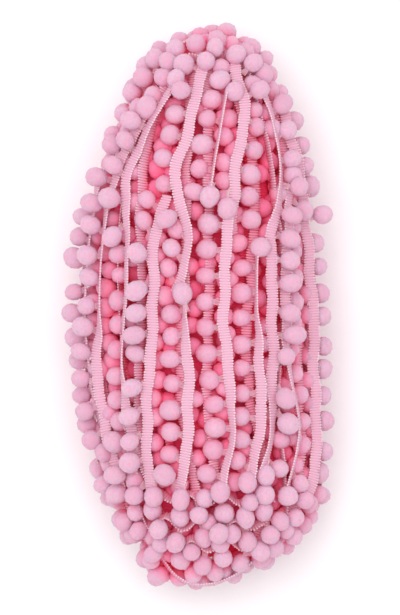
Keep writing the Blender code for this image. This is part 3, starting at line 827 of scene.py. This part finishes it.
balls = add_node(trim, "GeometryNodeStoreNamedAttribute", {
    "Geometry": balls, "Name": "shade", "Value": dye_lot,
}, data_type="FLOAT", domain="INSTANCE")
balls = add_node(trim, "GeometryNodeRealizeInstances", {"Geometry": balls})
lumps = add_node(trim, "ShaderNodeTexNoise", {"Vector": position, "Scale": 1 / (7 * MM)})
lumps = add_node(trim, "ShaderNodeMath", {0: lumps, 1: 0.5}, operation="SUBTRACT")
lumps = add_node(trim, "ShaderNodeMath", {0: lumps, 1: given["Pompom lumps"]}, operation="MULTIPLY")
normal = add_node(trim, "GeometryNodeInputNormal")
lumps = add_node(trim, "ShaderNodeVectorMath", {0: normal, "Scale": lumps}, operation="SCALE")
balls = add_node(trim, "GeometryNodeSetPosition", {"Geometry": balls, "Offset": lumps})

# Its pile is short fibres all over, each leaning its own way.
fibre = add_node(trim, "GeometryNodeMeshCone", {
    "Vertices": 3, "Radius Top": 0.0, "Radius Bottom": given["Fibre width"],
    "Depth": given["Fibre length"],
}, fill_type="NGON")
spots = add_node(trim, "GeometryNodeDistributePointsOnFaces", {
    "Mesh": balls, "Density": given["Fibres to a square metre"], "Seed": given["Seed"],
})
lean = add_node(trim, "FunctionNodeRandomValue", {
    0: (-0.5, -0.5, -3.0), 1: (0.5, 0.5, 3.0), "Seed": given["Seed"],
}, data_type="FLOAT_VECTOR")
lean = add_node(trim, "FunctionNodeRotateRotation", {
    "Rotation": spots.outputs["Rotation"], "Rotate By": lean,
}, rotation_space="LOCAL")
fibres = add_node(trim, "GeometryNodeInstanceOnPoints", {
    "Points": spots.outputs["Points"], "Instance": fibre, "Rotation": lean,
})
sunk = add_node(trim, "ShaderNodeMath", {0: given["Fibre length"], 1: -0.45}, operation="MULTIPLY")
sunk = add_node(trim, "ShaderNodeCombineXYZ", {2: sunk})
fibres = add_node(trim, "GeometryNodeTranslateInstances", {"Instances": fibres, "Translation": sunk})
fibres = add_node(trim, "GeometryNodeRealizeInstances", {"Geometry": fibres})
pompoms = add_node(trim, "GeometryNodeJoinGeometry", {0: [balls, fibres]})
pompoms = add_node(trim, "GeometryNodeSetMaterial", {"Geometry": pompoms, "Material": given["Pile"]})

# What touches the floor rests flat on it.
whole = add_node(trim, "GeometryNodeJoinGeometry", {0: [ribs, ties, pompoms]})
xyz = add_node(trim, "ShaderNodeSeparateXYZ", {0: position}).outputs
above = add_node(trim, "ShaderNodeMath", {0: xyz["Z"], 1: 0.0}, operation="MAXIMUM")
above = add_node(trim, "ShaderNodeCombineXYZ", {0: xyz["X"], 1: xyz["Y"], 2: above})
whole = add_node(trim, "GeometryNodeSetPosition", {"Geometry": whole, "Position": above})
whole = add_node(trim, "GeometryNodeSetShadeSmooth", {"Geometry": whole})
add_node(trim, "NodeGroupOutput", {0: whole})

input_ids = {
    item.name: item.identifier for item in trim.interface.items_tree if item.in_out == "INPUT"
}


TIE_IN_BRAID = 0.6 * MM
TIE_HIDDEN = 1.6 * MM  # in the braid and the pompom together


def make_trim(name, turns, centres, radii, packed=(), **sizes):
    """The turns as one plain mesh of ribs, ties and pompoms. centres and radii are for
    the turns' own pompoms, and packed has the centre, radius and root of each other one."""
    points, edges, across, facing = [], [], [], []
    for turn in turns:
        first = len(points)
        points += list(turn.close.centre)
        across += list(turn.close.width)
        facing += list(turn.close.up)
        edges += [(i, i + 1) for i in range(first, len(points) - 1)]
    own = [(turn, k) for turn in turns for k in range(turn.count)]
    rows = [
        (centre, radius, turn.root(k), turn.at_ties.ahead[1 + 2 * k])
        for (turn, k), centre, radius in zip(own, centres, radii)
        if radius > 0
    ]
    rows += [(centre, radius, root, (0.3, 0.9, 0.2)) for centre, radius, root in packed]
    shown = np.array([row[1] for row in rows], float)
    mids, roots, aheads = (
        np.array([row[k] for row in rows], float).reshape(-1, 3) for k in (0, 2, 3)
    )
    ways = mids - roots
    lengths = np.linalg.norm(ways, axis=1)
    ways /= lengths[:, None]
    aheads -= ways * (aheads * ways).sum(1, keepdims=True)
    none = np.zeros((len(points), 3))
    blank = np.zeros((len(rows), 3))
    mesh = bpy.data.meshes.new(name)
    mesh.from_pydata([tuple(p + PLACE) for p in [*points, *mids]], edges, [])
    for key, braid_rows, ball_rows in (
        ("across", across, blank),
        ("facing", facing, blank),
        ("way", none, ways),
        ("along", none, aheads),
        ("root", none, roots - ways * TIE_IN_BRAID + PLACE),
    ):
        column = mesh.attributes.new(key, "FLOAT_VECTOR", "POINT")
        values = [*braid_rows, *ball_rows]
        column.data.foreach_set("vector", np.array(values, float).ravel())
    for key, values in (("radius", shown), ("tie", lengths - shown + TIE_HIDDEN)):
        column = mesh.attributes.new(key, "FLOAT", "POINT")
        column.data.foreach_set("value", np.concatenate([none[:, 0], values]))
    column = mesh.attributes.new("is_pompom", "BOOLEAN", "POINT")
    column.data.foreach_set("value", [False] * len(points) + [True] * len(rows))

    piece = add_object(name, mesh)
    modifier = piece.modifiers.new("trim", "NODES")
    modifier.node_group = trim
    for label, value in sizes.items():
        modifier[input_ids[label.replace("_", " ").capitalize()]] = value
    bpy.context.view_layer.update()
    evaluated = piece.evaluated_get(bpy.context.evaluated_depsgraph_get())
    plain = bpy.data.meshes.new_from_object(evaluated)
    piece.modifiers.clear()
    piece.data = plain
    bpy.data.meshes.remove(mesh)
    # Each point's depth in the hank, by which the materials paint their shade.
    places = np.empty(3 * len(plain.vertices), np.float32)
    plain.vertices.foreach_get("co", places)
    deep = plain.attributes.new("deep", "FLOAT", "POINT")
    deep.data.foreach_set("value", depth_under_tips(places.reshape(-1, 3) - PLACE))
    return piece


inner_surface = surface_of(
    wound_form("inner", CORE_INSET, CORE_FLOOR, ridges=12, ridge_depth=2.2 * MM)
)
outer_turns = [upper_turn(*row) for row in UPPER_TURNS]
outer_turns += [short_turn(*row) for row in SHORT_TURNS]
outer_turns += [crossing_turn(*row) for row in CROSSING_TURNS]
outer_turns += [lower_turn(*row) for row in LOWER_TURNS]
outer_turns += [end_turn(*row) for row in END_TURNS]
centres, radii = settle_pompoms(outer_turns, inner_surface)
LEAST_SHOWN = 4.6 * MM  # a crowded pompom keeps this radius, pressed into its neighbours
shown_radii = [max(r, LEAST_SHOWN) for r in radii]
first = 0
for number, turn in enumerate(outer_turns):
    last = first + turn.count
    piece = make_trim(turn.name + "_trim", [turn], centres[first:last],
                      shown_radii[first:last], seed=number)
    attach(piece, "root")
    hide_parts(turn.name)
    first = last

# ---------------------------------------------------------------------------
# The turns beneath.
# More layers of the same trim lie under the outer turns. Their braid crosses behind the
# gaps, and their pompoms press outwards into every space that the outer ones leave.
# ---------------------------------------------------------------------------


def inner_turns(count, first_around, inset, top, foot, seed):
    """Turns spaced evenly round the hank at that depth, each wandering its own way."""
    draw = np.random.default_rng(seed)
    made = []
    for k in range(count):
        around = first_around + 360 * k / count + draw.uniform(-4, 4)
        made.append(lower_turn("beneath", (-1) ** k, top - draw.uniform(0, 8),
                               foot + draw.uniform(0, 8), around, draw.uniform(2, 5),
                               draw.choice((0, 25, 60, 80)), inset))
    return made


LEAST_PRESSED = 4.2 * MM  # a pompom with less room than this isn't shown


def press_outwards(turns, lid, balls, ball_radii, braids, seed):
    """Where these turns' pompoms lie once they fill the gaps left under the lid. One
    that finds no room has no radius."""
    squeeze = 1.0 * MM  # how far two pompoms press into each other
    fixed = tree_of(balls)  # the outer pompoms, which push harder than these do
    centres, radii, braid = settle(
        turns, seed, braids, lid, side=-1, steps=80, gap=0, apart=-squeeze, beside=0.2 * MM,
        shares=(0.5, 0.4), ties=(0.8 * MM, 4 * MM), fixed=[(fixed, ball_radii, 0.8)],
    )
    for i, c in enumerate(centres):
        room = [radii[i], braid.find(c)[2] + 0.6 * MM]
        for _, j, distance in fixed.find_range(c, 2.2 * BALL_RADIUS):
            room.append(distance - ball_radii[j] + 1.5 * squeeze)
        radii[i] = min(room) if min(room) > LEAST_PRESSED else 0
    return centres, radii.tolist()


def pack_pompoms(depth, allowed, tries, squeeze, clear, braids, taken, seed):
    """Pompoms wherever there's room for one with its middle at that depth and the place
    is allowed, each tied to the nearest braid, or from behind where none is near."""
    draw = np.random.default_rng(seed)
    centres = np.array([c for c, _ in taken])
    radii = np.array([r for _, r in taken])
    braid = tree_of(braids)
    made = []
    longest = 4 * MM  # tie to a braid, and a longer one isn't made
    behind = 1.5 * MM  # the tie's length where it's hidden under the pompom
    for _ in range(tries):
        r = BALL_RADIUS * (1 + draw.uniform(-BALL_SPREAD, BALL_SPREAD))
        deep = (depth + draw.uniform(-1, 1)) * MM
        high, around = draw.uniform(-1, 1), draw.uniform(0, math.tau)
        along = math.copysign(abs(high) ** (2 / FULLNESS) * (HALF_LENGTH - deep), high)
        point = skin(np.array(along), np.array(around), deep)
        point[2] = max(point[2], r + FLOOR_CLEARANCE)
        if not allowed(point):
            continue
        apart = np.linalg.norm(centres - point, axis=1)
        if (apart < radii + r - squeeze * MM).any():
            continue
        root, _, distance = braid.find(Vector(point))
        if distance < clear * MM:
            continue
        if distance > r + longest:
            root = point - outward(point[None], deep)[0] * (r + behind)
        centres = np.vstack([centres, point])
        radii = np.append(radii, r)
        made.append((point, r, np.array(root)))
    return made


second = inner_turns(18, first_around=7, inset=10 * MM, top=118, foot=-116, seed=11)
third = inner_turns(13, first_around=0, inset=16 * MM, top=115, foot=-115, seed=13)
outer_braids = samples_of(outer_turns)
lid = surface_of(wound_form("lid", 4.5 * MM, 0.1 * MM, ridges=12, ridge_depth=0))
second_centres, second_radii = press_outwards(second, lid, list(centres), shown_radii,
                                              outer_braids, 12)
taken = list(zip(centres, shown_radii))
taken += [(c, r) for c, r in zip(second_centres, second_radii) if r > 0]
crossing = [turn for turn in outer_turns if turn.name in {row[0] for row in CROSSING_TURNS}]
crossings = tree_of(samples_of(crossing))
tips = tree_of([Vector(turn.close.centre[k]) for turn in outer_turns for k in (0, -1)])
TIP_LENGTH = 9 * MM  # the end of a turn, which other pompoms may cover
long_braids = [p for p in samples_of([turn for turn in outer_turns if turn not in crossing])
               if tips.find(p)[2] > TIP_LENGTH]
all_braids = outer_braids + samples_of(second)
COVER_REACH = 4 * MM  # how near a pompom's middle is to what it covers
MIDDLE_STRETCH = (-84 * MM, 100 * MM)  # of the hank, along it
SIDE_HEIGHTS = (15 * MM, 62 * MM)


def over_tips(point):
    return tips.find(point)[2] < COVER_REACH


def over_crossings(point):
    return crossings.find(point)[2] < COVER_REACH


def at_hank_ends(point):
    return not MIDDLE_STRETCH[0] < point[1] < MIDDLE_STRETCH[1]


def down_the_sides(point):
    return SIDE_HEIGHTS[0] < point[2] < SIDE_HEIGHTS[1]


def anywhere(point):
    return True


# Each row fills one kind of space. Its lengths are in millimetres: the depth of the pompoms'
# middles, how far they press into each other, and how clear of the braids they are.
loose = []
for row in (
    # depth, allowed, tries, squeeze, clear, braids
    (2.5, over_tips, 20000, 2.0, 3.4, long_braids),
    (3, over_crossings, 12000, 2.2, 4.0, long_braids),
    (5, at_hank_ends, 8000, 1.8, 4.2, long_braids),
    (6.5, at_hank_ends, 6000, 1.8, 4.2, long_braids),
    (8, down_the_sides, 16000, 2.2, 2.6, all_braids),
    (9, anywhere, 8000, 1.5, 4.0, all_braids),
    (12.5, anywhere, 8000, 1.5, 3.8, all_braids),
    (17, anywhere, 8000, 1.5, 3.5, all_braids),
):
    found = pack_pompoms(*row, taken, len(loose))
    loose += found
    taken += [(point, r) for point, r, _ in found]

# Their ribs are plainer and their pile is thinner, as little of them shows
for name, turns, own, packed, pile_density in (
    ("second_turns", second, (second_centres, second_radii), [], 40000.0),
    ("third_turns", third, ([], []), [], 0.0),
    ("packed_pompoms", [], ([], []), loose, 100000.0),
):
    piece = make_trim(name, turns, *own, packed=packed, rib_sides=4, rib_cuts=4,
                      fibres_to_a_square_metre=pile_density)
    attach(piece, "root")
    if name == "second_turns":
        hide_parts("inner_turns")

# ---------------------------------------------------------------------------
# Floor, light and camera.
# A pale floor under a light tent: one broad lamp above the head end, and soft light
# from all round. The camera looks straight down, so that the hank fills the frame.
# ---------------------------------------------------------------------------

floor_paint = bpy.data.materials.new("white_studio_floor")
floor_paint.use_nodes = True
shader = floor_paint.node_tree.nodes["Principled BSDF"]
shader.inputs["Base Color"].default_value = linear("#FFFFFF")
shader.inputs["Roughness"].default_value = 0.9
bm = bmesh.new()
bmesh.ops.create_grid(bm, x_segments=1, y_segments=1, size=2.0)
floor_mesh = bpy.data.meshes.new("floor")
bm.to_mesh(floor_mesh)
bm.free()
floor_mesh.materials.append(floor_paint)
add_object("floor", floor_mesh)

world = bpy.data.worlds.new("light_tent")
bpy.context.scene.world = world
world.use_nodes = True
world.node_tree.nodes["Background"].inputs["Color"].default_value = linear("#FFFFFF")
world.node_tree.nodes["Background"].inputs["Strength"].default_value = 0.82

lamp = bpy.data.lights.new("overhead", "AREA")
lamp.shape = "SQUARE"
lamp.size = 1.0
lamp.energy = 11.0
lamp.color = linear("#FAFBFF")[:3]
holder = add_object("overhead", lamp)
holder.location = (-0.12, 0.2, 1.5)
holder.rotation_euler = (-holder.location).to_track_quat("-Z", "Y").to_euler()

FRAME_HEIGHT = 300.1 * MM  # what the frame takes in, at the height of the hank's axis
CAMERA_HEIGHT = 2.0
eye = bpy.data.cameras.new("camera")
eye.sensor_width = 36.0
eye.lens = 36.0 * CAMERA_HEIGHT / FRAME_HEIGHT
eye.clip_end = 10
camera = add_object("camera", eye)
camera.location = (0.519 * MM, -1.966 * MM, AXIS_HEIGHT + CAMERA_HEIGHT)
bpy.context.scene.camera = camera
bpy.context.scene.view_settings.view_transform = "Standard"
bpy.context.scene.cycles.diffuse_bounces = 12
